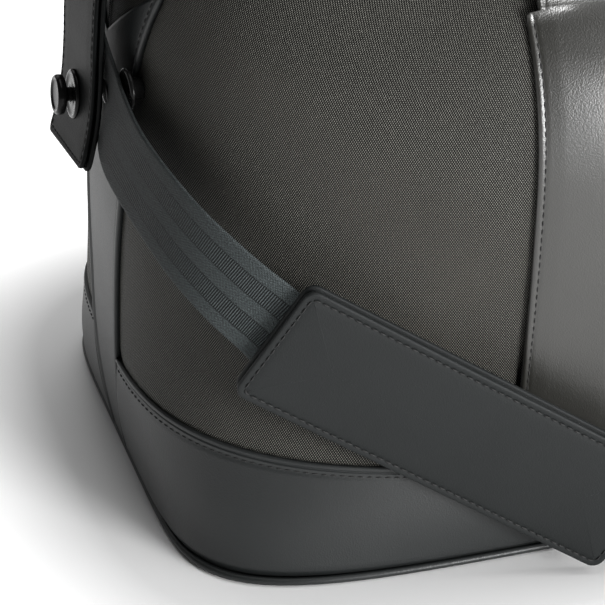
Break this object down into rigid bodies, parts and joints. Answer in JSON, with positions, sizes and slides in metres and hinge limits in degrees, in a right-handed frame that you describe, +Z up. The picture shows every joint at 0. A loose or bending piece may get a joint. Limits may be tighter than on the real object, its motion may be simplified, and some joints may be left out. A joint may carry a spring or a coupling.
{
  "type": "weekender bag",
  "caption": "Dome-topped weekend bag in dark woven nylon with a smooth leather base, end gussets, handle bands, zip-end tabs with studs, and a webbing strap with a leather pad.",
  "frame": {"origin": "centre of the bottom panel's underside, on the floor", "axes": "+X along the bag's length, -Y out of the front face the strap pad lies on, +Z up"},
  "size_m": [0.6012, 0.3319, 0.3937],
  "materials": {
    "woven_nylon": "dark brown-grey heavy woven nylon",
    "smooth_leather": "smooth matt dark grey leather, tone-on-tone stitching",
    "black_metal": "gloss black coated metal",
    "webbing": "ribbed woven webbing with a slight sheen",
    "lining_cloth": "plain grey lining cloth",
    "stiffener_board": "plain board",
    "zip_tape": "black zip tape with moulded teeth"
  },
  "bodies": {
    "bag": {"bottom_panel": "smooth_leather", "bottom_board": "stiffener_board", "base_piping": "smooth_leather", "base_band_front": "smooth_leather", "base_band_back": "smooth_leather", "panel_front": "woven_nylon", "panel_back": "woven_nylon", "gusset_left": "smooth_leather", "gusset_right": "smooth_leather", "zip_panel_front": "woven_nylon", "zip_panel_back": "woven_nylon", "lining": "lining_cloth", "zip_tape_front": "zip_tape", "zip_tape_back": "zip_tape", "zip_stop_left": "black_metal", "zip_stop_right": "black_metal", "handle_band_front_left": "smooth_leather", "handle_band_front_right": "smooth_leather", "handle_band_back_left": "smooth_leather", "handle_band_back_right": "smooth_leather", "strap_washer_left": "black_metal", "strap_washer_right": "black_metal", "strap_knob_left": "black_metal", "strap_knob_right": "black_metal"},
    "strap": {"strap_webbing": "webbing"},
    "pad": {"pad_front": "smooth_leather", "pad_back": "smooth_leather"},
    "handle_front": {"handle_ring_front_left": "black_metal", "handle_ring_front_right": "black_metal", "handle_grip_front": "smooth_leather", "handle_wrap_front": "smooth_leather"},
    "handle_back": {"handle_ring_back_left": "black_metal", "handle_ring_back_right": "black_metal", "handle_grip_back": "smooth_leather", "handle_wrap_back": "smooth_leather"},
    "slider_left": {"zip_slider_left": "black_metal"},
    "pull_left": {"zip_pull_left": "black_metal", "pull_leather_left": "smooth_leather"},
    "tab_left": {"end_tab_backing_left": "smooth_leather", "end_tab_left": "smooth_leather", "tab_washer_left": "black_metal", "tab_knob_left": "black_metal"},
    "slider_right": {"zip_slider_right": "black_metal"},
    "pull_right": {"zip_pull_right": "black_metal", "pull_leather_right": "smooth_leather"},
    "tab_right": {"end_tab_backing_right": "smooth_leather", "end_tab_right": "smooth_leather", "tab_washer_right": "black_metal", "tab_knob_right": "black_metal"}
  },
  "joints": [
    {"name": "strap_swing", "type": "hinge", "parent": "bag", "child": "strap", "pos_m": [0, -0.027, 0.196], "axis": [-1, 0, 0], "range_deg": [0, 45]},
    {"name": "pad_slide", "type": "slide", "parent": "strap", "child": "pad", "axis": [0.8268, -0.183, -0.5319], "range_m": [-0.004, 0.005]},
    {"name": "handle_front_swing", "type": "hinge", "parent": "bag", "child": "handle_front", "pos_m": [0, -0.12422, 0.26787], "axis": [1, 0, 0], "range_deg": [-15, 120]},
    {"name": "handle_back_swing", "type": "hinge", "parent": "bag", "child": "handle_back", "pos_m": [0, 0.12422, 0.26787], "axis": [-1, 0, 0], "range_deg": [-15, 120]},
    {"name": "slider_left_slide", "type": "slide", "parent": "bag", "child": "slider_left", "axis": [1, 0, 0], "range_m": [0, 0.118]},
    {"name": "pull_left_lift", "type": "hinge", "parent": "slider_left", "child": "pull_left", "pos_m": [-0.166, 0, 0.3035], "axis": [0, -1, 0], "range_deg": [0, 110]},
    {"name": "tab_left_lift", "type": "hinge", "parent": "bag", "child": "tab_left", "pos_m": [-0.192, 0, 0.3014], "axis": [0, 1, 0], "range_deg": [0, 70]},
    {"name": "slider_right_slide", "type": "slide", "parent": "bag", "child": "slider_right", "axis": [-1, 0, 0], "range_m": [0, 0.118]},
    {"name": "pull_right_lift", "type": "hinge", "parent": "slider_right", "child": "pull_right", "pos_m": [0.166, 0, 0.3035], "axis": [0, 1, 0], "range_deg": [0, 110]},
    {"name": "tab_right_lift", "type": "hinge", "parent": "bag", "child": "tab_right", "pos_m": [0.192, 0, 0.3014], "axis": [0, -1, 0], "range_deg": [0, 70]}
  ]
}
